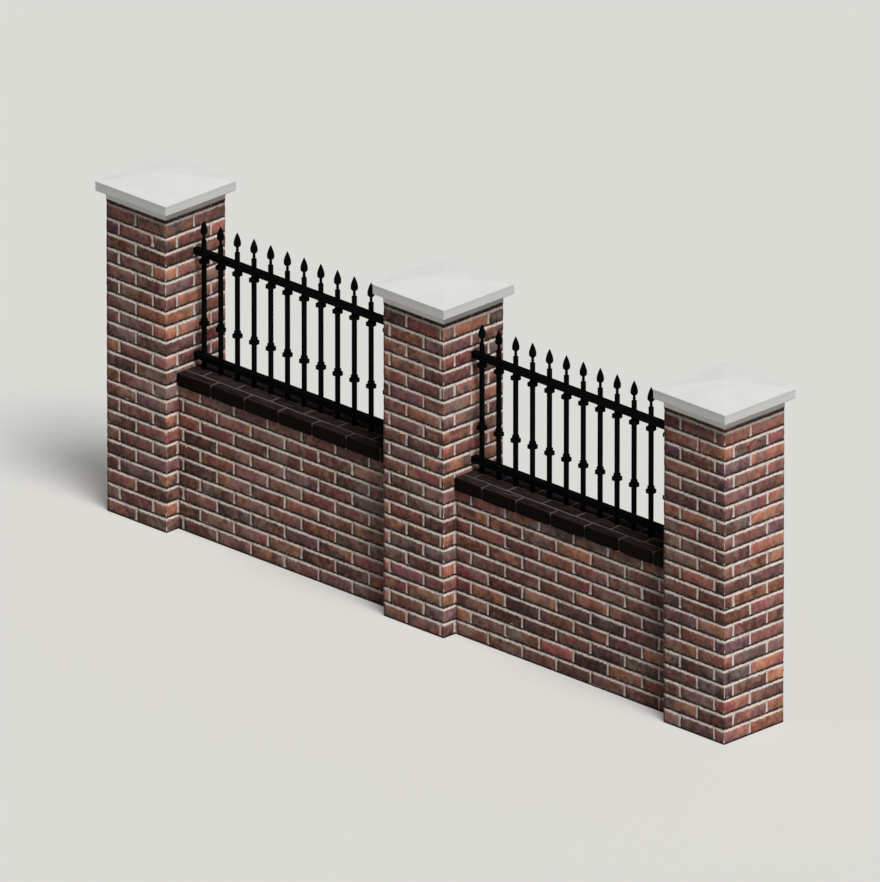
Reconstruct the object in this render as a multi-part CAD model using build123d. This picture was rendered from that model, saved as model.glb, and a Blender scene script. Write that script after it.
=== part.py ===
from build123d import *
import os

# Brick garden wall: three square brick piers with pyramid caps, joined by two bays of low
# brick wall that carry a dark brick coping and an iron railing with finials.
# Millimetres, +Z up. X runs along the wall, the front faces -Y, and the origin is on the
# ground under the middle of the middle pier.

# Brickwork, laid in 75 mm courses. A pier has 21 of them and a thin slip under its pad; a low
# wall has nine, a cut course and the bed joint of its coping.
pier_width = 400.0
pier_height = 1592.0
bay_clear = 1445.0
wall_height = 735.0
wall_thickness = 240.0

# Coping bricks, laid flat, stand proud of the wall on both faces.
coping_height = 65.0
coping_overhang = 14.0

# Pier caps: a cast pad as wide as the pier, then a slab with a shallow four-sided top.
pad_height = 40.0
cap_overhang = 35.0
cap_edge = 50.0
cap_rise = 48.0
drip_width = 8.0
drip_depth = 5.0
drip_from_edge = 12.0

# Railing, with its levels measured up from the coping. The rails run into pockets in the piers.
rail_size = 32.0
rail_embed = 60.0
pocket_clearance = 0.3
foot_gap = 42.0
rail_clear = 497.5
bar_size = 17.5
bar_count = 13
bar_rise = 51.5
collar_wide = 35.7
collar_wide_height = 21.0
collar_narrow = 25.0
collar_narrow_height = 16.0
collar_rise = 145.0

# Finials, one on the flat top of each bar.
neck_radius = 6.5
neck_height = 21.0
bead_radius = 7.8
bead_height = 8.0
bud_radius = 17.7
bud_flare = 17.0
bud_band = 13.0
bud_point = 50.0
bud_bulge = 2.0
finial_sides = 12
point_steps = 4

# Levels and places that follow from the sizes above.
pad_top = pier_height + pad_height
coping_top = wall_height + coping_height
top_rail_low = foot_gap + rail_size + rail_clear
bar_length = top_rail_low + rail_size + bar_rise
lower_collar_low = foot_gap + rail_size + collar_rise
upper_collar_low = top_rail_low - collar_wide_height - collar_narrow_height
pitch = bay_clear + pier_width
pier_places = {"left": -pitch, "middle": 0.0, "right": pitch}
bay_places = {"left": -pitch / 2, "right": pitch / 2}

# Every block below is centred in plan and stands on its own lowest face.
STANDING = (Align.CENTER, Align.CENTER, Align.MIN)


def pier(x):
    """Square brick shaft with a pocket for each rail end that it holds."""
    shaft = Pos(x, 0, 0) * Box(pier_width, pier_width, pier_height, align=STANDING)
    length = bay_clear + 2 * (rail_embed + pocket_clearance)
    size = rail_size + 2 * pocket_clearance
    for bay_x in bay_places.values():
        if abs(bay_x - x) < pitch:
            for rail_low in (foot_gap, top_rail_low):
                low = coping_top + rail_low - pocket_clearance
                shaft -= Pos(bay_x, 0, low) * Box(length, size, size, align=STANDING)
    return shaft


def cap_pad(x):
    """Cast pad that closes the brickwork and carries the cap."""
    return Pos(x, 0, pier_height) * Box(pier_width, pier_width, pad_height, align=STANDING)


def pier_cap(x):
    """Cap slab with a drip groove under its edge and a shallow four-sided weathering."""
    size = pier_width + 2 * cap_overhang
    groove_size = size - 2 * drip_from_edge
    inside_size = groove_size - 2 * drip_width
    slab = Box(size, size, cap_edge, align=STANDING)
    groove = Rectangle(groove_size, groove_size) - Rectangle(inside_size, inside_size)
    slab -= extrude(groove, drip_depth)
    weathering = loft([Pos(0, 0, cap_edge) * Rectangle(size, size), Vertex(0, 0, cap_edge + cap_rise)])
    return Pos(x, 0, pad_top) * (slab + weathering)


def low_wall(x):
    """Brick panel between two piers, up to the bed of the coping."""
    return Pos(x, 0, 0) * Box(bay_clear, wall_thickness, wall_height, align=STANDING)


def coping(x):
    """Course of coping bricks over one bay."""
    depth = wall_thickness + 2 * coping_overhang
    return Pos(x, 0, wall_height) * Box(bay_clear, depth, coping_height, align=STANDING)


def finial():
    """Cast finial: a neck with a bead, a flared bud, and a point that bulges as a parabola."""
    bead_low = (neck_height - bead_height) / 2
    bead_high = bead_low + bead_height
    band_low = neck_height + bud_flare
    point_low = band_low + bud_band
    outline = [
        (neck_radius, 0),
        (neck_radius, bead_low),
        (bead_radius, (bead_low + bead_high) / 2),
        (neck_radius, bead_high),
        (neck_radius, neck_height),
        (bud_radius, band_low),
    ]
    for step in range(point_steps):
        t = step / point_steps
        radius = bud_radius * (1 - t) + 4 * bud_bulge * t * (1 - t)
        outline.append((radius, point_low + bud_point * t))
    rings = [Pos(0, 0, z) * RegularPolygon(radius, finial_sides) for radius, z in outline]
    return loft(rings + [Vertex(0, 0, point_low + bud_point)], ruled=True)


def picket():
    """Square bar with two collars and a finial, standing on the origin."""
    solid = Box(bar_size, bar_size, bar_length, align=STANDING)
    for low in (lower_collar_low, upper_collar_low):
        solid += Pos(0, 0, low) * Box(collar_wide, collar_wide, collar_wide_height, align=STANDING)
        narrow = Box(collar_narrow, collar_narrow, collar_narrow_height, align=STANDING)
        solid += Pos(0, 0, low + collar_wide_height) * narrow
    return solid + Pos(0, 0, bar_length) * finial()


def railing(x):
    """Welded panel: two rails and a row of pickets that stand on the coping."""
    length = bay_clear + 2 * rail_embed
    rails = [
        Pos(0, 0, low) * Box(length, rail_size, rail_size, align=STANDING)
        for low in (foot_gap, top_rail_low)
    ]
    bar = picket()
    bars = [place * bar for place in GridLocations(bay_clear / bar_count, 1, bar_count, 1)]
    return Pos(x, 0, coping_top) * (Part() + rails + bars)


os.makedirs("parts", exist_ok=True)

for side, x in pier_places.items():
    export_step(pier(x), f"parts/pier_{side}.step")
    export_step(cap_pad(x), f"parts/cap_pad_{side}.step")
    export_step(pier_cap(x), f"parts/pier_cap_{side}.step")

for side, x in bay_places.items():
    export_step(low_wall(x), f"parts/low_wall_{side}.step")
    export_step(coping(x), f"parts/coping_{side}.step")
    export_step(railing(x), f"parts/railing_{side}.step")
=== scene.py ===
import bpy
import math
import numpy as np
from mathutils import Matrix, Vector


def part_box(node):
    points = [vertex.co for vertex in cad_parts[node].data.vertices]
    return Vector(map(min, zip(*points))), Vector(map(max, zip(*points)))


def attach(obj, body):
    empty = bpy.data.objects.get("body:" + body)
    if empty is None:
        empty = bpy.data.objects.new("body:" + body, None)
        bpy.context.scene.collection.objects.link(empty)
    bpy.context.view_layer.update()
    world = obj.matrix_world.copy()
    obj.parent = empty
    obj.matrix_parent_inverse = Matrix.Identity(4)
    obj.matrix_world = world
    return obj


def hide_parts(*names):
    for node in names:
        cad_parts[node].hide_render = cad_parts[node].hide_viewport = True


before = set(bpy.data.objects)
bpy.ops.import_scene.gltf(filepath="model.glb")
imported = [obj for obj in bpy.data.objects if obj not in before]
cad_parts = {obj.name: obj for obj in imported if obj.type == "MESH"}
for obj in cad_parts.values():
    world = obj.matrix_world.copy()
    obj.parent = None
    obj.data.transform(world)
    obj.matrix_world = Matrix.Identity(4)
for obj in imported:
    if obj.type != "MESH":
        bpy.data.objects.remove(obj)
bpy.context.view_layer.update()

# Camera. It stands in front of the wall, to the right and above, and looks through a lens so
# long that the view is nearly parallel, as the photograph's is.
PHOTO_WIDTH = 880
PHOTO_HEIGHT = 882
PIXELS_PER_METRE = 213.0
PIER_FOOT_PIXEL = (443.3, 616.0)
VIEW_AZIMUTH = math.radians(44.79)
VIEW_ELEVATION = math.radians(22.24)
LENS_MM = 1700.0
SENSOR_MM = 36.0
CLIP_REACH = 1.5

sideways = (PHOTO_WIDTH / 2 - PIER_FOOT_PIXEL[0]) / PIXELS_PER_METRE
rise = (PIER_FOOT_PIXEL[1] - PHOTO_HEIGHT / 2) / PIXELS_PER_METRE / math.cos(VIEW_ELEVATION)
distance = PHOTO_HEIGHT / PIXELS_PER_METRE * LENS_MM / SENSOR_MM
to_right = np.array([math.cos(VIEW_AZIMUTH), math.sin(VIEW_AZIMUTH), 0.0])
to_camera = np.array([
    math.sin(VIEW_AZIMUTH) * math.cos(VIEW_ELEVATION),
    -math.cos(VIEW_AZIMUTH) * math.cos(VIEW_ELEVATION),
    math.sin(VIEW_ELEVATION),
])
camera_data = bpy.data.cameras.new("camera")
camera_data.lens = LENS_MM
camera_data.sensor_width = SENSOR_MM
camera_data.clip_end = distance * CLIP_REACH
camera = bpy.data.objects.new("camera", camera_data)
camera.location = to_right * sideways + np.array([0.0, 0.0, rise]) + to_camera * distance
camera.rotation_euler = (math.pi / 2 - VIEW_ELEVATION, 0.0, VIEW_AZIMUTH)
bpy.context.scene.collection.objects.link(camera)
bpy.context.scene.camera = camera

# Studio. A pale floor runs into a background of the same colour. One large soft lamp stands
# high on the right, a little to the front, and the dome above fills the shade.
BACKGROUND = (0.708, 0.701, 0.665)
FLOOR_COLOUR = (0.540, 0.535, 0.507)
FLOOR_GLOW = (0.168, 0.166, 0.158)
FLOOR_BOUNCE = (0.385, 0.381, 0.366)
NO_GLOW = (0.0, 0.0, 0.0)
FLOOR_HALF = 60.0
LAMP_AZIMUTH = math.radians(18.5)
LAMP_ELEVATION = math.radians(60.0)
LAMP_STRENGTH = 3.24
LAMP_SPREAD = math.radians(25.0)
DOME_COLOUR = (0.12, 0.12, 0.122)


class Wire:
    """One socket of a node tree. Arithmetic on wires adds Math nodes to the tree."""

    def __init__(self, tree, socket=None):
        self.tree = tree
        self.socket = socket

    def node(self, kind, settings=None, sockets=None, out=0):
        """Adds a node: its settings first, then the values or wires of its sockets."""
        made = self.tree.nodes.new(kind)
        for name, value in (settings or {}).items():
            if name == "stops":
                ramp = made.color_ramp  # a new ramp has two stops already
                for number, (place, colour) in enumerate(value):
                    stop = ramp.elements[number] if number < 2 else ramp.elements.new(place)
                    stop.position = place
                    stop.color = (*colour, 1.0)
            else:
                setattr(made, name, value)
        for name, value in (sockets or {}).items():
            if isinstance(value, Wire):
                self.tree.links.new(value.socket, made.inputs[name])
            elif isinstance(value, tuple) and made.inputs[name].type == "RGBA":
                made.inputs[name].default_value = (*value, 1.0)
            else:
                made.inputs[name].default_value = value
        return Wire(self.tree, made.outputs[out])

    def beside(self, out):
        """Another output of the node that this wire comes from."""
        return Wire(self.tree, self.socket.node.outputs[out])

    def maths(self, operation, first, second=0.0):
        """Adds a Math node with its two operands."""
        return self.node("ShaderNodeMath", {"operation": operation}, {0: first, 1: second})

    def __add__(self, other):
        return self.maths("ADD", self, other)

    __radd__ = __add__

    def __mul__(self, other):
        return self.maths("MULTIPLY", self, other)

    __rmul__ = __mul__

    def __sub__(self, other):
        return self.maths("SUBTRACT", self, other)

    def __rsub__(self, other):
        return self.maths("SUBTRACT", other, self)

    def larger(self, other):
        """The larger of this wire and another."""
        return self.maths("MAXIMUM", self, other)

    def fraction(self):
        """What is left of this wire above the whole number below it."""
        return self.maths("FRACT", self)

    def clip(self, low, high):
        """Slides from 0 at low to 1 at high and stays there."""
        sockets = {"Value": self, "From Min": low, "From Max": high}
        return self.node("ShaderNodeMapRange", {"interpolation_type": "SMOOTHSTEP"}, sockets)

    def ragged(self, *noises):
        """This wire, moved up and down by noises that lie round 0.5, each with its share."""
        moved = self
        for noise, share in noises:
            moved = moved + share * (noise - 0.5)
        return moved

    def mix(self, first, second, blend="MIX"):
        """Colour between two others, with this wire as the share of the second."""
        settings = {"data_type": "RGBA", "blend_type": blend}
        return self.node("ShaderNodeMix", settings, {0: self, 6: first, 7: second}, out=2)

    def scaled(self, share):
        """This colour or place, times a share."""
        sockets = {0: self, "Scale": share}
        return self.node("ShaderNodeVectorMath", {"operation": "SCALE"}, sockets)

    def mark(self, name, out="Fac"):
        """The value that the mesh carries under a name."""
        return self.node("ShaderNodeAttribute", {"attribute_name": name}, out=out)

    def noise(self, place, scale, detail=2.0, roughness=0.5):
        """Noise round 0.5 at each place, with more waves to the metre as the scale grows."""
        sockets = {"Vector": place, "Scale": scale, "Detail": detail, "Roughness": roughness}
        return self.node("ShaderNodeTexNoise", None, sockets)

    def relief(self, height, strength, distance):
        """Bumps of a height, given as their strength and their full size in metres."""
        sockets = {"Strength": strength, "Distance": distance, "Height": height}
        return self.node("ShaderNodeBump", None, sockets)


def new_material(name):
    """An empty material, its Principled node and a wire that starts new nodes."""
    material = bpy.data.materials.new(name)
    material.use_nodes = True
    surface = material.node_tree.nodes["Principled BSDF"]
    return material, surface, Wire(material.node_tree)


def connect(surface, **wires):
    """Joins wires to the surface's sockets, whose names are given with underscores."""
    for name, wire in wires.items():
        socket = surface.inputs[name.replace("_", " ").title()]
        wire.tree.links.new(wire.socket, socket)


bpy.context.scene.view_settings.view_transform = "Standard"
world = bpy.data.worlds.new("studio")
world.use_nodes = True
bpy.context.scene.world = world
sky = Wire(world.node_tree)
seen = sky.node("ShaderNodeLightPath", out="Is Camera Ray")
glow = seen.mix(DOME_COLOUR, BACKGROUND)
background = world.node_tree.nodes["Background"]
sky.tree.links.new(glow.socket, background.inputs["Color"])

lamp_data = bpy.data.lights.new("lamp", "SUN")
lamp_data.energy = LAMP_STRENGTH
lamp_data.angle = LAMP_SPREAD
lamp = bpy.data.objects.new("lamp", lamp_data)
lamp.rotation_euler = (0.0, math.pi / 2 - LAMP_ELEVATION, -LAMP_AZIMUTH)
bpy.context.scene.collection.objects.link(lamp)

floor_mesh = bpy.data.meshes.new("floor")
floor_signs = ((-1, -1), (1, -1), (1, 1), (-1, 1))
floor_corners = [(x * FLOOR_HALF, y * FLOOR_HALF, 0.0) for x, y in floor_signs]
floor_mesh.from_pydata(floor_corners, [], [(0, 1, 2, 3)])
floor = bpy.data.objects.new("floor", floor_mesh)
bpy.context.scene.collection.objects.link(floor)
floor_material, floor_surface, floor_wire = new_material("floor")
seen_directly = floor_wire.node("ShaderNodeLightPath", out="Is Camera Ray")
shown = seen_directly
for ray in ("Is Glossy Ray", "Is Transmission Ray"):
    shown = shown.larger(seen_directly.beside(ray))
connect(
    floor_surface, base_color=shown.mix(FLOOR_BOUNCE, FLOOR_COLOUR),
    emission_color=shown.mix(NO_GLOW, FLOOR_GLOW),
)
floor_surface.inputs["Emission Strength"].default_value = 1.0
floor_surface.inputs["Roughness"].default_value = 1.0
floor_surface.inputs["Specular IOR Level"].default_value = 0.0
floor_mesh.materials.append(floor_material)

# Piers. Each is a square shaft of mixed red, brown and purple facing bricks, laid in running
# bond round all four sides with pale mortar, raked a little behind the faces.
BRICK_HEIGHT = 0.065
JOINT = 0.010
UPRIGHT_JOINT = 0.008
BRICK_MODULE = 0.225
COURSE = BRICK_HEIGHT + JOINT
FACING_DEPTH = 0.060
SMALLEST_BRICK = 0.014
BOND_START = -0.002
SIDE_BOND = {"left": 0.191, "middle": 0.076, "right": 0.174}
GROUND_GAP = 0.0005

# The form of a brick: its worn arrises, the band beside them, how far its head, foot and ends
# fall back, the size and the waves to the metre of its warp and its chips, and how much less
# mortar its upright arrises take.
ARRIS = 0.003
BEVEL_SHARE = 0.3
EDGE_BAND = 0.010
BRICK_PILLOW = 0.0010
BRICK_SAG = 0.35
BRICK_WARP = 0.0003
WARP_WAVES = 45
BRICK_CHIP = 0.0020
CHIP_WAVES = 130
CHIP_START = 1.4
UPRIGHT_SMEAR = 0.30
POINTS_A_SIDE = 8

# The mortar core behind the bricks. The piers' painted shade is an axis, the distances from
# that axis's far end where the face starts to darken and where it is darkest, and the loss of
# colour there: painted shade under the cap, at the top of each pier.
MORTAR_RAKE = 0.0023
MORTAR_CELL = 0.016
MORTAR_WARP = 0.0002
MORTAR_WAVES = 90
FULL_TURN = 6.3
PIER_PAINTED_SHADE = (2, 0.10, 0.02, 0.30)


def rounded_outline(half_x, half_y, radius, band, sag=0.0):
    """Points round a rectangle, anticlockwise from the front left: seven along each side, at
    the ends of its straight, a band inside them and between, and one in each round corner.
    The ends of each straight fall back by the sag."""
    nought = np.zeros_like(half_x)
    bevel = radius * (1.0 - math.sqrt(0.5)) + 0.6 * sag
    along_x, along_y = (
        [-half + radius, -half + band, -0.4 * half, nought, 0.4 * half, half - band, half - radius]
        for half in (half_x, half_y)
    )
    right_face = [half_x - sag] + [half_x] * 5 + [half_x - sag]
    front_face = [sag - half_y] + [-half_y] * 5 + [sag - half_y]
    x = along_x + [half_x - bevel] + right_face + [half_x - bevel]
    y = front_face + [-half_y + bevel] + along_y + [half_y - bevel]
    x = np.stack(x + [-value for value in x], axis=-1)
    y = np.stack(y + [-value for value in y], axis=-1)
    return x, y


def ring_faces(rings, columns):
    """Quads between rings of points, each ring closed on itself, counted ring by ring."""
    ring = np.arange(rings - 1)[:, None] * columns
    here = np.arange(columns)[None, :]
    after = (here + 1) % columns
    quads = [ring + here, ring + after, ring + columns + after, ring + columns + here]
    return np.stack(quads, axis=-1).reshape(-1, 4)


def closed_stack(blocks, rings, columns):
    """Faces of several closed blocks: quads up their sides and one flat face at each end."""
    start = np.arange(blocks)[:, None, None] * rings * columns
    sides = (ring_faces(rings, columns)[None] + start).reshape(-1, 4)
    around = np.arange(columns)
    ends = np.stack([around[::-1], around + (rings - 1) * columns])
    return [sides, (ends[None] + start).reshape(-1, columns)]


def new_piece(name, points, groups, materials, marks=None, smooth=(True, True)):
    """Makes an object from points and groups of faces, each group with its own material and
    smooth or flat. Marks are named values for each point, which the materials read."""
    mesh = bpy.data.meshes.new(name)
    faces = [part for group in groups for part in group]
    totals = np.concatenate([np.full(len(part), part.shape[1]) for part in faces])
    corners = np.concatenate([part.ravel() for part in faces])
    counts = [sum(len(part) for part in group) for group in groups]
    slots = np.repeat(np.arange(len(groups)), counts)
    mesh.vertices.add(len(points))
    mesh.vertices.foreach_set("co", points.astype(np.float32).ravel())
    mesh.loops.add(len(corners))
    mesh.loops.foreach_set("vertex_index", corners.astype(np.int32))
    mesh.polygons.add(len(totals))
    mesh.polygons.foreach_set("loop_start", (np.cumsum(totals) - totals).astype(np.int32))
    mesh.polygons.foreach_set("material_index", slots.astype(np.int32))
    mesh.polygons.foreach_set("use_smooth", np.array(smooth)[slots])
    for mark, values in (marks or {}).items():
        kind, field = ("FLOAT_VECTOR", "vector") if values.ndim == 2 else ("FLOAT", "value")
        attribute = mesh.attributes.new(mark, kind, "POINT")
        attribute.data.foreach_set(field, values.astype(np.float32).ravel())
    for material in materials:
        mesh.materials.append(material)
    mesh.update(calc_edges=True)
    mesh.validate()
    piece = bpy.data.objects.new(name, mesh)
    bpy.context.scene.collection.objects.link(piece)
    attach(piece, "root")
    return piece


def ripple(points, phases, waves, size):
    """Moves each point by a sum of sine waves of its place, shifted by the phases."""
    shift = [np.sin(points @ wave + phases[..., number, :]) for number, wave in enumerate(waves)]
    return points + size * sum(shift)


def lay_bricks(low, high, rng):
    """Rounded closed bricks between low and high corners. A rounded outline is carried up each
    brick, drawn in at foot and head, chipped at its arrises and warped by sine waves. Its marks
    are three values of its own, its arrises, the height above its foot in brick heights, the
    faces that look along the wall, which take painted light, and the left ends of the other
    faces, which take painted shade."""
    count = len(low)
    half = (high - low)[:, None, :] / 2
    middle = (high + low)[:, None, :] / 2
    radius = np.minimum(ARRIS, half.min(axis=-1) / 3)
    band = np.minimum(EDGE_BAND, half.min(axis=-1) / 2)
    bevel = radius * BEVEL_SHARE
    inset = np.concatenate([radius, bevel, radius * 0, radius * 0, radius * 0], axis=1)
    inset = np.concatenate([inset, inset[:, 3::-1]], axis=1)
    rise = np.concatenate([radius * 0, bevel, radius, band, half[..., 2]], axis=1)
    rise = np.concatenate([rise, 2 * half[..., 2] - rise[:, 3::-1]], axis=1)
    inset = inset + np.minimum(BRICK_PILLOW, radius) * (rise / half[..., 2] - 1) ** 2
    corner = radius + 0 * inset
    beside = band + 0 * inset
    x, y = rounded_outline(
        half[..., 0] - inset, half[..., 1] - inset, corner, beside, radius * BRICK_SAG,
    )
    z = np.broadcast_to((rise - half[..., 2])[..., None], x.shape)
    local = np.stack([x, y, z], axis=-1)

    # Nine outlines up a brick and eight points along each side, nought away from the arrises.
    edge_row = np.array([1, 1, 0.8, 0, 0, 0, 0.8, 1, 1])
    edge_column = np.tile([0.8, 0, 0, 0, 0, 0, 0.8, 1], 4)
    edge = np.broadcast_to(np.maximum(edge_row[:, None], edge_column[None]), x.shape)
    place = local + middle[:, :, None, :]
    chip_waves = rng.normal(0, CHIP_WAVES, (3, 3, 3))
    chips = ripple(place, rng.uniform(0, FULL_TURN, (count, 1, 1, 3, 3)), chip_waves, 1.0) - place
    depth = BRICK_CHIP * np.clip(np.abs(chips) - CHIP_START, 0, 1) * edge[..., None]
    near = np.abs(local) > half[:, :, None, :] - 2 * radius[..., None, None]
    place = place - np.sign(local) * depth * near
    warp_waves = rng.normal(0, WARP_WAVES, (3, 3, 3))
    place = ripple(place, rng.uniform(0, FULL_TURN, (count, 1, 1, 3, 3)), warp_waves, BRICK_WARP)
    place[..., 2] = np.maximum(place[..., 2], GROUND_GAP)

    pointed = np.maximum(edge_row[:, None], UPRIGHT_SMEAR * edge_column[None])
    pointed = np.broadcast_to(pointed, x.shape)
    tone = np.broadcast_to(rng.uniform(0, 1, (count, 1, 1, 3)), place.shape)
    # Faces that look along the wall, which take painted light.
    flank = np.broadcast_to(np.tile(np.repeat([0.0, 1.0], POINTS_A_SIDE), 2), x.shape)
    # Painted shade at the left end of each front and back face.
    shaded_left_end = np.concatenate([[1.0, 0.9], np.zeros(2 * POINTS_A_SIDE - 3), [1.0]])
    end_shade = np.broadcast_to(np.tile(shaded_left_end, 2), x.shape)
    marks = {
        "tone": tone.reshape(-1, 3),
        "edge": pointed.reshape(-1),
        "rise": ((z + half[..., None, 2]) / BRICK_HEIGHT).reshape(-1),
        "flank": flank.reshape(-1),
        "end_shade": end_shade.reshape(-1),
    }
    return place.reshape(-1, 3), closed_stack(count, *x.shape[1:]), marks


def mortar_core(low, high, rng):
    """Block of mortar behind the bricks: a finely divided outline carried up in thin rings and
    warped by sine waves, with its foot and head kept flat."""
    steps = np.maximum(((high - low) / MORTAR_CELL).astype(int), 1)
    across = np.linspace(low[0], high[0], steps[0] + 1)
    along = np.linspace(low[1], high[1], steps[1] + 1)
    ends = [np.full(steps[1], high[0]), np.full(steps[1], low[0])]
    faces = [np.full(steps[0], low[1]), np.full(steps[0], high[1])]
    x = np.concatenate([across[:-1], ends[0], across[:0:-1], ends[1]])
    y = np.concatenate([faces[0], along[:-1], faces[1], along[:0:-1]])
    z = np.linspace(low[2], high[2], steps[2] + 1)
    grid = np.stack(np.broadcast_arrays(x[None], y[None], z[:, None]), axis=-1)
    phases = rng.uniform(0, FULL_TURN, (1, 1, 4, 3))
    warped = ripple(grid, phases, rng.normal(0, MORTAR_WAVES, (4, 3, 3)), MORTAR_WARP)
    warped[[0, -1], :, 2] = grid[[0, -1], :, 2]
    return warped.reshape(-1, 3), closed_stack(1, *grid.shape[:2])


def masonry(name, low, high, core_low, core_high, materials, seed, painted_shade):
    """Bricks and the mortar behind them, as one object. The painted shade is an axis, the
    distances from its far end where the surface starts to darken and where it is darkest, and the
    loss of colour there; it stands in for shade that falls near that end."""
    rng = np.random.default_rng(seed)
    bricks, brick_faces, marks = lay_bricks(np.array(low), np.array(high), rng)
    core, core_faces = mortar_core(np.array(core_low), np.array(core_high), rng)
    core_faces = [part + len(bricks) for part in core_faces]
    for mark, values in marks.items():
        marks[mark] = np.concatenate([values, np.zeros((len(core), *values.shape[1:]))])
    points = np.concatenate([bricks, core])
    axis, start, full, loss = painted_shade
    below_end = points[:, axis] - core_high[axis]
    marks["painted_shade"] = loss * np.clip((below_end + start) / (start - full), 0, 1)
    return new_piece(name, points, [brick_faces, core_faces], materials, marks)


def joint_places(start, stop, first):
    """Places of the upright joints between start and stop, a module apart, one at first."""
    before = math.floor((start - first) / BRICK_MODULE)
    beyond = math.ceil((stop - first) / BRICK_MODULE)
    places = first + np.arange(before, beyond + 1) * BRICK_MODULE
    return places[(places > start + SMALLEST_BRICK) & (places < stop - SMALLEST_BRICK)]


def pier_bricks(low, high, front_first, side_first, bottom, top):
    """Corners of one course of a pier's bricks: a brick in each corner, and facing bricks
    between the joints. The back and the left side repeat the front and the right side, turned
    half round."""
    width = high[0] - low[0]
    front = joint_places(0.0, width, front_first)
    side = joint_places(0.0, width, side_first)
    gap = UPRIGHT_JOINT / 2
    boxes = [(front[-1] + gap, 0.0, width, side[0] - gap)]
    boxes.append((0.0, 0.0, front[0] - gap, width - side[-1] - gap))
    boxes += [(a + gap, 0.0, b - gap, FACING_DEPTH) for a, b in zip(front[:-1], front[1:])]
    boxes += [(width - FACING_DEPTH, a + gap, width, b - gap) for a, b in zip(side[:-1], side[1:])]
    boxes = np.array(boxes)
    boxes = np.concatenate([boxes, width - boxes[:, [2, 3, 0, 1]]])
    lows = np.column_stack([boxes[:, :2] + low[:2], np.full(len(boxes), bottom)])
    highs = np.column_stack([boxes[:, 2:] + low[:2], np.full(len(boxes), top)])
    return lows, highs


# The fired face: its colours, how far each brick's own tone moves its noises, the noises'
# scales, and the shares of colour that the veil, the smear, the painted shade at the left ends
# and the painted shadow under the bricks take.
MORTAR_COLOUR = (0.86, 0.750, 0.670)
MORTAR_SHADE = (0.64, 0.535, 0.465)
VEIL_COLOUR = (0.42, 0.34, 0.29)
# Painted shadow: under each brick, at its left end and along the top of each bed joint.
PAINTED_SHADOW_COLOUR = (0.011, 0.008, 0.007)
BRICK_STOPS = [
    (0.0, (0.115, 0.073, 0.071)),
    (0.13, (0.165, 0.070, 0.053)),
    (0.27, (0.245, 0.102, 0.068)),
    (0.42, (0.185, 0.090, 0.108)),
    (0.56, (0.265, 0.104, 0.065)),
    (0.70, (0.390, 0.168, 0.098)),
    (0.84, (0.275, 0.078, 0.080)),
    (1.0, (0.200, 0.116, 0.088)),
]
TONE_SHIFT = 3.0
CLOUD_SCALE = 13.0
VEIL_SCALE = 5.0
MOTTLE_SCALE = 34.0
RAG_SCALE = 120.0
GRIT_SCALE = 330.0
PATCH_SCALE = 30.0
SAND_SCALE = 420.0
UNDER_SHADOW_SCALE = 130.0
VEIL_SHARE = 0.42
SMEAR_SHARE = 0.85
END_SHADE_SHARE = 0.62
UNDER_SHADOW_SHARE = 0.96
MASONRY_SHINE = 0.2
BRICK_RELIEF = 0.0018
MORTAR_RELIEF = 0.001
MORTAR_ROUGHNESS = 0.95


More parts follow.
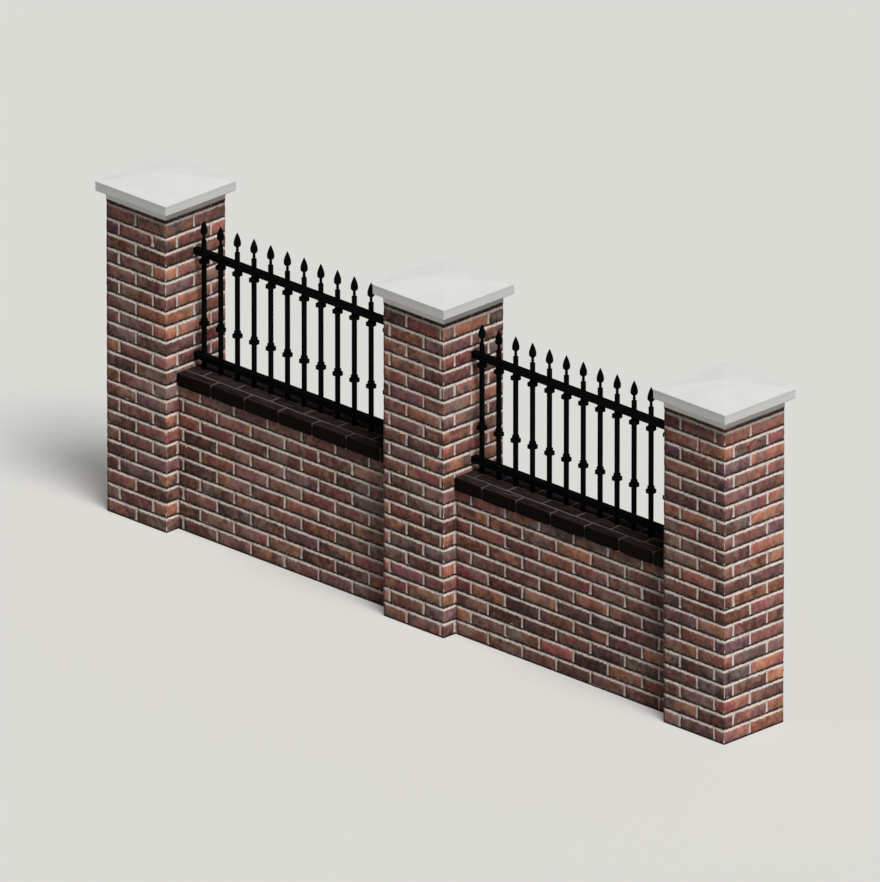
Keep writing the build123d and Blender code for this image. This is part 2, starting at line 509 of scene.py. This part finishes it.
def brick_material(name, stops, smear_colour, smear_share):
    """Fired clay: each brick takes its own colour from the stops and drifts towards a second
    one in clouds, with fine streaks and grit, painted light towards its head and on its flanks,
    a painted shadow at its foot and left end, and a smear of mortar at its edges."""
    material, surface, wire = new_material(name)
    place = wire.node("ShaderNodeTexCoord", out="Object")
    tone = wire.mark("tone", out="Vector")
    first = wire.node("ShaderNodeSeparateXYZ", None, {0: tone}, out="X")
    second, third = first.beside("Y"), first.beside("Z")
    edge, rise, flank = wire.mark("edge"), wire.mark("rise"), wire.mark("flank")
    end_shade, painted_shade = wire.mark("end_shade"), wire.mark("painted_shade")
    moved = {0: place, 1: tone.scaled(TONE_SHIFT)}
    own = wire.node("ShaderNodeVectorMath", {"operation": "ADD"}, moved)
    cloud = wire.noise(own, CLOUD_SCALE)
    veil = wire.noise(place, VEIL_SCALE, 5.0, 0.6)
    mottle = wire.noise(own, MOTTLE_SCALE, 3.0)
    rag = wire.noise(own, RAG_SCALE, 3.0)
    grit = wire.noise(own, GRIT_SCALE, 3.0)
    base = wire.node("ShaderNodeValToRGB", {"stops": stops}, {"Fac": first})
    other = wire.node("ShaderNodeValToRGB", {"stops": stops}, {"Fac": second})
    colour = cloud.clip(0.40, 0.60).mix(base, other)

    # Each brick is lighter or darker as a whole, then in mottles and grit. Painted light makes it
    # lighter towards its head, as if lit from above, and on the faces that look along the wall.
    light = 0.28 + 0.74 * third + 0.55 * mottle.clip(0.30, 0.70)
    light = light * (0.80 + 0.40 * grit) * (0.77 + 0.40 * rise) * (1.02 + 0.42 * flank)
    colour = colour.scaled(light)
    colour = (veil.ragged((mottle, 0.25)).clip(0.46, 0.70) * VEIL_SHARE).mix(colour, VEIL_COLOUR)

    # Mortar smeared over the arrises, most of all at the head, where the smear is also a painted
    # highlight; then a painted shadow at the foot and at the left ends, and painted shade near the
    # piers and under the caps.
    smear = edge.ragged((rag, 1.3)).clip(0.80, 1.10)
    # At the head the mortar smear is also a painted highlight on the upper arris.
    crown_smear_and_highlight = rise.ragged((rag, 0.42), (grit, 0.20)).clip(0.840, 0.915)
    colour = ((smear * 0.6).larger(crown_smear_and_highlight) * smear_share).mix(colour, smear_colour)
    foot_shadow = 1.0 - rise.ragged((rag, 0.50), (grit, 0.20)).clip(0.038, 0.122)
    foot_shadow = foot_shadow.larger(end_shade.ragged((rag, 0.3)).clip(0.70, 0.95) * END_SHADE_SHARE)
    colour = (foot_shadow * (0.98 - 0.22 * flank)).mix(colour, PAINTED_SHADOW_COLOUR)
    # Painted shade near the piers and under the caps.
    colour = colour.scaled(1.0 - painted_shade)
    bump = wire.relief(rag * 0.5 + grit * 0.3 + mottle * 0.6, 0.8, BRICK_RELIEF)
    connect(surface, base_color=colour, normal=bump, roughness=0.75 + 0.2 * cloud)
    surface.inputs["Specular IOR Level"].default_value = MASONRY_SHINE
    return material


def mortar_material(name, colour, shade, under_shadow_share):
    """Sanded mortar: two shades of one colour in soft patches, with sharp sand in relief. The
    upper part of each bed joint, under the arris of the bricks, is painted dark as their shadow."""
    material, surface, wire = new_material(name)
    place = wire.node("ShaderNodeTexCoord", out="Object")
    patch = wire.noise(place, PATCH_SCALE, 4.0)
    sand = wire.noise(place, SAND_SCALE, 3.0)
    rag = wire.noise(place, UNDER_SHADOW_SCALE, 3.0)
    tint = (0.7 * patch + 0.3 * sand).clip(0.35, 0.62).mix(shade, colour)

    # The phase runs from 0 to 1 up each course, with the middle of the bed joint at a half.
    level = wire.node("ShaderNodeSeparateXYZ", None, {0: place}, out="Z")
    phase = (level * (1 / COURSE) + 0.5).fraction()
    # Painted shadow of the bricks above, along the top of the bed joint.
    under_shadow = phase.ragged((rag, 0.22), (sand, 0.08)).clip(0.470, 0.498)
    under_shadow = under_shadow * (1.0 - phase.clip(0.60, 0.63))
    tint = (under_shadow * under_shadow_share).mix(tint, PAINTED_SHADOW_COLOUR)
    # Painted shade near the piers, under the caps and in the coping's recessed joints.
    tint = tint.scaled(1.0 - wire.mark("painted_shade"))
    connect(surface, base_color=tint, normal=wire.relief(sand + patch, 0.6, MORTAR_RELIEF))
    surface.inputs["Roughness"].default_value = MORTAR_ROUGHNESS
    surface.inputs["Specular IOR Level"].default_value = MASONRY_SHINE
    return material


pale_mortar = mortar_material("pale_mortar", MORTAR_COLOUR, MORTAR_SHADE, UNDER_SHADOW_SHARE)
facing_brick = brick_material("facing_brick", BRICK_STOPS, MORTAR_COLOUR, SMEAR_SHARE)
left_low, left_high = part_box("pier_left")
bond_origin = (left_low.x + left_high.x) / 2 + BOND_START

for number, side in enumerate(("left", "middle", "right")):
    node = f"pier_{side}"
    low, high = (np.array(corner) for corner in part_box(node))
    lows, highs = [], []
    for course in range(math.ceil(high[2] / COURSE)):
        shift = BRICK_MODULE / 2 * (course % 2)
        bottom = low[2] + course * COURSE + JOINT / 2
        top = min(bottom + BRICK_HEIGHT, high[2])
        front_first = bond_origin + shift - low[0]
        made = pier_bricks(low, high, front_first, SIDE_BOND[side] + shift, bottom, top)
        lows.append(made[0])
        highs.append(made[1])
    rake = np.array([MORTAR_RAKE, MORTAR_RAKE, 0.0])
    piece = masonry(
        f"{node}_masonry", np.concatenate(lows), np.concatenate(highs), low + rake, high - rake,
        [facing_brick, pale_mortar], seed=11 + number, painted_shade=PIER_PAINTED_SHADE,
    )
    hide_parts(node)

# Low walls. Two leaves of the same bricks fill each bay, in running bond, up to a cut course
# and the bed joint of the coping. The back leaf repeats the front one, turned half round. The
# walls are painted darker towards the pier on their right, as the shade that the pier casts.
END_JOINT = 0.002
BED_JOINT = 0.004
WALL_BOND_START = 0.010
# Painted shade of the pier on the wall's right end.
WALL_PAINTED_SHADE = (0, 0.26, 0.12, 0.42)


def leaf_bricks(start, stop, first, face, depth, bottom, top, joint=UPRIGHT_JOINT):
    """Corners of one course of bricks between start and stop, from face to depth behind it."""
    ends = joint_places(start, stop, first)
    left = np.concatenate([[start + END_JOINT], ends + joint / 2])
    right = np.concatenate([ends - joint / 2, [stop - END_JOINT]])
    lows = np.column_stack([left, np.full(len(left), face), np.full(len(left), bottom)])
    highs = np.column_stack([right, np.full(len(left), face + depth), np.full(len(left), top)])
    return lows, highs


def back_leaf(lows, highs, low, high):
    """Corners of the same bricks turned half round about the middle of the wall's box."""
    ends = low[:2] + high[:2]
    turned_lows = np.column_stack([ends - highs[:, :2], lows[:, 2]])
    turned_highs = np.column_stack([ends - lows[:, :2], highs[:, 2]])
    return turned_lows, turned_highs


for number, side in enumerate(("left", "right")):
    node = f"low_wall_{side}"
    low, high = (np.array(corner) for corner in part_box(node))
    lows, highs = [], []
    for course in range(int(high[2] / COURSE) + 1):
        first = bond_origin + WALL_BOND_START + BRICK_MODULE / 2 * (course % 2)
        bottom = course * COURSE + JOINT / 2
        top = min(bottom + BRICK_HEIGHT, high[2] - BED_JOINT)
        made = leaf_bricks(low[0], high[0], first, low[1], FACING_DEPTH, bottom, top)
        for leaf in (made, back_leaf(*made, low, high)):
            lows.append(leaf[0])
            highs.append(leaf[1])
    rake = np.array([0.0, MORTAR_RAKE, 0.0])
    piece = masonry(
        f"{node}_masonry", np.concatenate(lows), np.concatenate(highs), low + rake, high - rake,
        [facing_brick, pale_mortar], seed=21 + number, painted_shade=WALL_PAINTED_SHADE,
    )
    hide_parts(node)

# Copings. Dark brown engineering bricks lie flat in four rows across the wall, bonded like a
# pavement, with thin grey-brown joints that are painted darker below the top, as shade in their
# recesses. They stand proud of the wall on both faces.
COPING_ROWS = 4
COPING_JOINT = 0.010
COPING_BOND_START = 0.204
COPING_STAGGER = 0.110
COPING_BED = 0.0005
COPING_RAKE = np.array([0.0, 0.008, 0.0022])
# Painted shade in the recessed joints, below the top.
COPING_PAINTED_SHADE = (2, 0.0, 0.004, 0.55)
COPING_STOPS = [
    (0.0, (0.0040, 0.0022, 0.0018)),
    (0.5, (0.0070, 0.0036, 0.0028)),
    (1.0, (0.0115, 0.0060, 0.0046)),
]
COPING_TOP_TINT = (0.053, 0.034, 0.030)
COPING_MORTAR = (0.098, 0.078, 0.070)
COPING_MORTAR_SHADE = (0.074, 0.058, 0.052)
STREAK_SCALES = (12.0, 70.0, 40.0)
COPING_CLOUD_SCALE = 16.0
COPING_GRIT_SCALE = 240.0
COPING_RELIEF = 0.0008
COPING_SHINE = 0.04


def coping_material(name, stops, dust):
    """Dense dark brick: its own shade from the stops, clouded and gritty, with a painted shadow at
    its foot. Its top is paler in streaks along the wall."""
    material, surface, wire = new_material(name)
    place = wire.node("ShaderNodeTexCoord", out="Object")
    tone, rise = wire.mark("tone", out="Vector"), wire.mark("rise")
    first = wire.node("ShaderNodeSeparateXYZ", None, {0: tone}, out="X")
    moved = {0: place, 1: tone.scaled(TONE_SHIFT)}
    own = wire.node("ShaderNodeVectorMath", {"operation": "ADD"}, moved)
    drawn = wire.node("ShaderNodeVectorMath", {"operation": "MULTIPLY"}, {0: own, 1: STREAK_SCALES})
    cloud = wire.noise(own, COPING_CLOUD_SCALE, 4.0)
    grit = wire.noise(own, COPING_GRIT_SCALE, 3.0)
    streak = wire.noise(drawn, 1.0, 3.0)
    base = wire.node("ShaderNodeValToRGB", {"stops": stops}, {"Fac": first * 0.6 + cloud * 0.4})
    paler_top = (0.12 + 0.70 * streak.clip(0.36, 0.64) + 0.40 * first).ragged((cloud, 0.5))
    colour = (rise.clip(0.985, 0.999) * paler_top).mix(base, dust)
    # Painted shadow at the foot of each coping brick.
    foot_shadow = 1.0 - rise.ragged((grit, 0.3)).clip(0.05, 0.20)
    colour = foot_shadow.mix(colour, PAINTED_SHADOW_COLOUR, "MULTIPLY")
    bump = wire.relief(grit, 0.5, COPING_RELIEF)
    connect(surface, base_color=colour, normal=bump, roughness=0.62 + 0.25 * cloud)
    surface.inputs["Specular IOR Level"].default_value = COPING_SHINE
    return material


coping_brick = coping_material("coping_brick", COPING_STOPS, COPING_TOP_TINT)
coping_joint = mortar_material("coping_joint", COPING_MORTAR, COPING_MORTAR_SHADE, 0.0)

for number, side in enumerate(("left", "right")):
    node = f"coping_{side}"
    low, high = (np.array(corner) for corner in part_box(node))
    depth = (high[1] - low[1] - (COPING_ROWS - 1) * COPING_JOINT) / COPING_ROWS
    bottom = low[2] + COPING_BED
    lows, highs = [], []
    for row in range(COPING_ROWS):
        first = bond_origin + COPING_BOND_START + COPING_STAGGER * (row % 2)
        face = low[1] + row * (depth + COPING_JOINT)
        made = leaf_bricks(low[0], high[0], first, face, depth, bottom, high[2], COPING_JOINT)
        lows.append(made[0])
        highs.append(made[1])
    piece = masonry(
        f"{node}_masonry", np.concatenate(lows), np.concatenate(highs),
        low + COPING_RAKE, high - COPING_RAKE, [coping_brick, coping_joint],
        seed=31 + number, painted_shade=COPING_PAINTED_SHADE,
    )
    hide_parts(node)

# Cap pads and caps. Both are cast in pale concrete and bedded on the piers. The cap's slab has a
# drip groove under its edge and slopes to a point. Painted light makes the pads and edges paler
# than the slopes, and each side paler or darker by how the light falls on it.
CAST_ARRIS = 0.002
CORNER_BAND = 0.05
CONCRETE = (0.730, 0.722, 0.690)
CONCRETE_SHADE = (0.700, 0.692, 0.660)
PIT_COLOUR = (0.40, 0.385, 0.35)
CONCRETE_CLOUD_SCALE = 9.0
CONCRETE_SAND_SCALE = 330.0
PIT_SCALE = 150.0
PIT_PATCH_SCALE = 45.0
CONCRETE_RELIEF = 0.0006

# Painted light on each side, as a factor on the colour, in the order front, right, back, left.
SIDE_PAINTED_LIGHT = [1.02, 0.97, 1.065, 1.12]
# The pads take more painted light, as they lie in the cap's shade.
PAD_PAINTED_LIGHT = [1.32, 1.25, 1.32, 1.32]
# Slopes take a little painted shade, and edges a little painted light.
SLOPE_PAINTED_LIGHT = 0.975
EDGE_PAINTED_LIGHT = 1.06

# Section of the slab, as distances in from its edge and heights: the underside, the drip groove,
# the lower arris, the edge and the upper arris. The slope goes on from there to the point.
SLAB_SECTION = [
    (0.050, 0.0), (0.0215, 0.0), (0.020, 0.001), (0.0195, 0.005), (0.0125, 0.005), (0.012, 0.001),
    (0.0105, 0.0), (0.0035, 0.0), (0.001, 0.001), (0.0, 0.0035),
    (0.0, 0.025), (0.0, 0.047), (0.001, 0.0494),
]
SLAB_EDGE = 0.050
UPPER_ARRIS_RINGS = 2
SLOPE_RINGS = 13
SLOPE_INSET = 0.003
SLOPE_DROP = 0.0006
POINT_HALF = 0.0015


def square_stack(half, level, centre, corner, spread=0.012):
    """Closed square solid: for each pair of half width and level, a rounded outline; the
    outlines are carried up in turn and the first and last are closed."""
    half, level = np.array(half), np.array(level)
    radius = np.minimum(corner, half * 0.4)
    band = np.maximum(radius * 1.5, np.minimum(spread, half * 0.5))
    x, y = rounded_outline(half, half, radius, band)
    z = np.broadcast_to(level[:, None], x.shape)
    points = np.stack([x, y, z], axis=-1) + np.array(centre)
    return points.reshape(-1, 3), closed_stack(1, *x.shape)


def concrete_material(name, colour, shade, pit):
    """Cast concrete: two close shades in soft clouds, fine sand, and scattered small pits, all
    made paler or darker by painted light and shade on each face."""
    material, surface, wire = new_material(name)
    place = wire.node("ShaderNodeTexCoord", out="Object")
    cloud = wire.noise(place, CONCRETE_CLOUD_SCALE, 5.0)
    sand = wire.noise(place, CONCRETE_SAND_SCALE, 3.0)
    holes = wire.node("ShaderNodeTexVoronoi", None, {"Vector": place, "Scale": PIT_SCALE})
    rare = wire.noise(place, PIT_PATCH_SCALE)
    pits = (1.0 - holes.clip(0.10, 0.22)) * rare.clip(0.60, 0.66)
    tint = (0.65 * cloud + 0.35 * sand).clip(0.36, 0.60).mix(shade, colour)
    tint = (pits * 0.8).mix(tint, pit)
    # Painted light and shade, face by face.
    tint = tint.scaled(wire.mark("face_light"))
    bump = wire.relief(sand * 0.5 + cloud * 0.5 - pits * 1.5, 0.5, CONCRETE_RELIEF)
    connect(surface, base_color=tint, normal=bump, roughness=0.85 + 0.1 * cloud)
    surface.inputs["Specular IOR Level"].default_value = MASONRY_SHINE
    return material


cast_concrete = concrete_material("cast_concrete", CONCRETE, CONCRETE_SHADE, PIT_COLOUR)

for side in ("left", "middle", "right"):
    node = f"cap_pad_{side}"
    low, high = (np.array(corner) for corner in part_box(node))
    width, rise = (high[0] - low[0]) / 2, high[2] - low[2]
    centre = ((low[0] + high[0]) / 2, 0.0, low[2])
    arris = CAST_ARRIS * np.array([1.0, 0.3, 0.0])
    half = np.concatenate([width - arris, [width, width], (width - arris)[::-1]])
    level = np.concatenate([arris[::-1], [rise * 0.35, rise * 0.65], rise - arris])
    points, faces = square_stack(half, level, centre, CAST_ARRIS, CORNER_BAND)
    marks = {"face_light": np.tile(np.repeat(PAD_PAINTED_LIGHT, POINTS_A_SIDE), len(half))}
    piece = new_piece(f"{node}_cast", points, [faces], [cast_concrete], marks, smooth=(False,))
    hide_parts(node)

    node = f"pier_cap_{side}"
    low, high = (np.array(corner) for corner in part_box(node))
    width, rise = (high[0] - low[0]) / 2, high[2] - low[2]
    centre = ((low[0] + high[0]) / 2, 0.0, low[2])
    inset, height = np.array(SLAB_SECTION).T
    slope = np.linspace(0.0, 1.0, SLOPE_RINGS + 1)[1:]
    half = np.concatenate([width - inset, (width - SLOPE_INSET) * (1 - slope) + POINT_HALF])
    level = np.concatenate([height, SLAB_EDGE + (rise - SLAB_EDGE) * slope - SLOPE_DROP])
    points, faces = square_stack(half, level, centre, CAST_ARRIS, CORNER_BAND)
    below = np.arange(len(half)) < len(inset) - UPPER_ARRIS_RINGS
    face_light = np.where(below, EDGE_PAINTED_LIGHT, SLOPE_PAINTED_LIGHT)[:, None] * np.repeat(SIDE_PAINTED_LIGHT, POINTS_A_SIDE)
    marks = {"face_light": face_light.ravel()}
    piece = new_piece(f"{node}_cast", points, [faces], [cast_concrete], marks, smooth=(False,))
    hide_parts(node)

# Railings. Each is a welded panel of square steel in black paint: two rails let into the piers,
# and thirteen square bars that stand on the coping, with two collars and a turned finial each.
# The bars are a little fuller than the bare steel, for their paint.
BAR_HALF = 0.0092
BAR_TOP = 0.655
BAR_COUNT = 13
BAY_CLEAR = 1.445
RAIL_HALF = 0.016
RAIL_LEVELS = (0.042, 0.5715)
WELD = 0.003
STEEL_ARRIS = 0.0010
SOFT_SHARE = 0.7
COLLAR_LEVELS = (0.219, 0.5345)
COLLAR_WIDE = (0.01785, 0.021)
COLLAR_NARROW = (0.0125, 0.016)
FINIAL_COLUMNS = 28
NECK_RADIUS = 0.0065
NECK_TOP = 0.0185
BEAD_RADIUS = 0.0078
BEAD_LOW = 0.0065
BEAD_HEIGHT = 0.008
BUD_RADIUS = 0.0177
FLARE_LOW = 0.021
FLARE_HEIGHT = 0.017
BAND_LEVELS = [0.0395, 0.0495]
POINT_LOW = 0.051
POINT_HEIGHT = 0.050
POINT_BULGE = 0.008
POINT_END = 0.97
BLACK_PAINT = (0.0018, 0.0027, 0.0024)
PAINT_DUST = (0.0042, 0.0058, 0.0052)
PAINT_CLOUD_SCALE = 22.0
PEEL_SCALE = 500.0
PAINT_RELIEF = 0.0004
PAINT_SHINE = 0.02
BAR_ROUGHNESS = 0.45
FINIAL_ROUGHNESS = 0.30


def bar_profile():
    """Half width of a bar against its height above the coping: a plain square, with a weld
    bead above and below each rail and two stepped collars with softened arrises."""
    soft = STEEL_ARRIS * SOFT_SHARE
    steps = [(BAR_HALF - soft, 0.0), (BAR_HALF, soft)]
    wide, wide_rise = COLLAR_WIDE
    narrow, narrow_rise = COLLAR_NARROW
    for rail, collar in zip(RAIL_LEVELS, COLLAR_LEVELS):
        rail_top = rail + 2 * RAIL_HALF
        step = collar + wide_rise
        top = step + narrow_rise
        ring = [
            (BAR_HALF, collar - WELD), (BAR_HALF + WELD, collar),
            (wide - soft, collar), (wide, collar + soft),
            (wide, step - soft), (wide - soft, step),
            (narrow, step), (narrow, top - soft),
            (narrow - soft, top), (BAR_HALF, top),
        ]
        weld = [
            (BAR_HALF, rail - WELD), (BAR_HALF + WELD, rail),
            (BAR_HALF + WELD, rail_top), (BAR_HALF, rail_top + WELD),
        ]
        upward = weld + ring if rail < collar else sorted(ring + weld, key=lambda pair: pair[1])
        steps += upward
    return steps + [(BAR_HALF, BAR_TOP - soft), (BAR_HALF - soft, BAR_TOP)]


def finial_profile():
    """Radius of a finial against its height above the bar: a neck with a round bead, a bud
    that flares as half a cosine, a band, and a point whose sides bulge as a parabola."""
    turn = np.linspace(0.0, math.pi, 7)
    flare = np.linspace(0.0, 1.0, 8)
    point = np.linspace(0.0, POINT_END, 16)
    radius = np.concatenate([
        [NECK_RADIUS], NECK_RADIUS + (BEAD_RADIUS - NECK_RADIUS) * np.sin(turn), [NECK_RADIUS],
        NECK_RADIUS + (BUD_RADIUS - NECK_RADIUS) * (1 - np.cos(math.pi * flare)) / 2,
        [BUD_RADIUS, BUD_RADIUS], BUD_RADIUS * (1 - point) + POINT_BULGE * point * (1 - point),
    ])
    level = np.concatenate([
        [0.0], BEAD_LOW + BEAD_HEIGHT * (1 - np.cos(turn)) / 2, [NECK_TOP],
        FLARE_LOW + FLARE_HEIGHT * flare,
        BAND_LEVELS, POINT_LOW + POINT_HEIGHT * point,
    ])
    return radius, level


def turned(radius, level, centre):
    """Surface of revolution: the radius at each level, carried round the upright axis."""
    angle = np.arange(FINIAL_COLUMNS) / FINIAL_COLUMNS * 2 * math.pi
    x = radius[:, None] * np.cos(angle)
    y = radius[:, None] * np.sin(angle)
    z = np.broadcast_to(level[:, None], x.shape)
    points = np.stack([x, y, z], axis=-1) + np.array(centre)
    return points.reshape(-1, 3), closed_stack(1, *x.shape)


def paint_material(name, colour, dust, roughness):
    """Black paint on steel: brush marks and fine orange peel, dulled by dust in patches."""
    material, surface, wire = new_material(name)
    place = wire.node("ShaderNodeTexCoord", out="Object")
    cloud = wire.noise(place, PAINT_CLOUD_SCALE, 4.0)
    peel = wire.noise(place, PEEL_SCALE)
    tint = (cloud.clip(0.45, 0.75) * 0.6).mix(colour, dust)
    bump = wire.relief(peel + cloud, 0.25, PAINT_RELIEF)
    connect(surface, base_color=tint, normal=bump, roughness=roughness + 0.2 * cloud)
    surface.inputs["Specular IOR Level"].default_value = PAINT_SHINE
    return material


black_paint = paint_material("black_paint", BLACK_PAINT, PAINT_DUST, BAR_ROUGHNESS)
finial_paint = paint_material("finial_paint", BLACK_PAINT, PAINT_DUST, FINIAL_ROUGHNESS)

for side in ("left", "right"):
    node = f"railing_{side}"
    low, high = (np.array(corner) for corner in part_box(node))
    middle, length = (low[0] + high[0]) / 2, (high[0] - low[0]) / 2
    bars, finials = [], []
    for rail in RAIL_LEVELS:
        half = [RAIL_HALF, RAIL_HALF]
        points, faces = square_stack(half, [-length, length], (0.0, 0.0, 0.0), STEEL_ARRIS)
        axis = np.array([middle, 0.0, low[2] + rail + RAIL_HALF])
        bars.append((points[:, [2, 0, 1]] + axis, faces))
    half, level = np.array(bar_profile()).T
    for bar in range(BAR_COUNT):
        x = middle + (bar - (BAR_COUNT - 1) / 2) * BAY_CLEAR / BAR_COUNT
        bars.append(square_stack(half, level, (x, 0.0, low[2]), STEEL_ARRIS))
        finials.append(turned(*finial_profile(), (x, 0.0, low[2] + BAR_TOP)))
    parts = bars + finials
    starts = np.cumsum([0] + [len(points) for points, faces in parts])
    groups = [[part + start for part in faces] for start, (points, faces) in zip(starts, parts)]
    groups = [sum(groups[:len(bars)], []), sum(groups[len(bars):], [])]
    piece = new_piece(
        f"{node}_ironwork", np.concatenate([points for points, faces in parts]), groups,
        [black_paint, finial_paint], smooth=(False, True),
    )
    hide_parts(node)

bpy.context.view_layer.update()
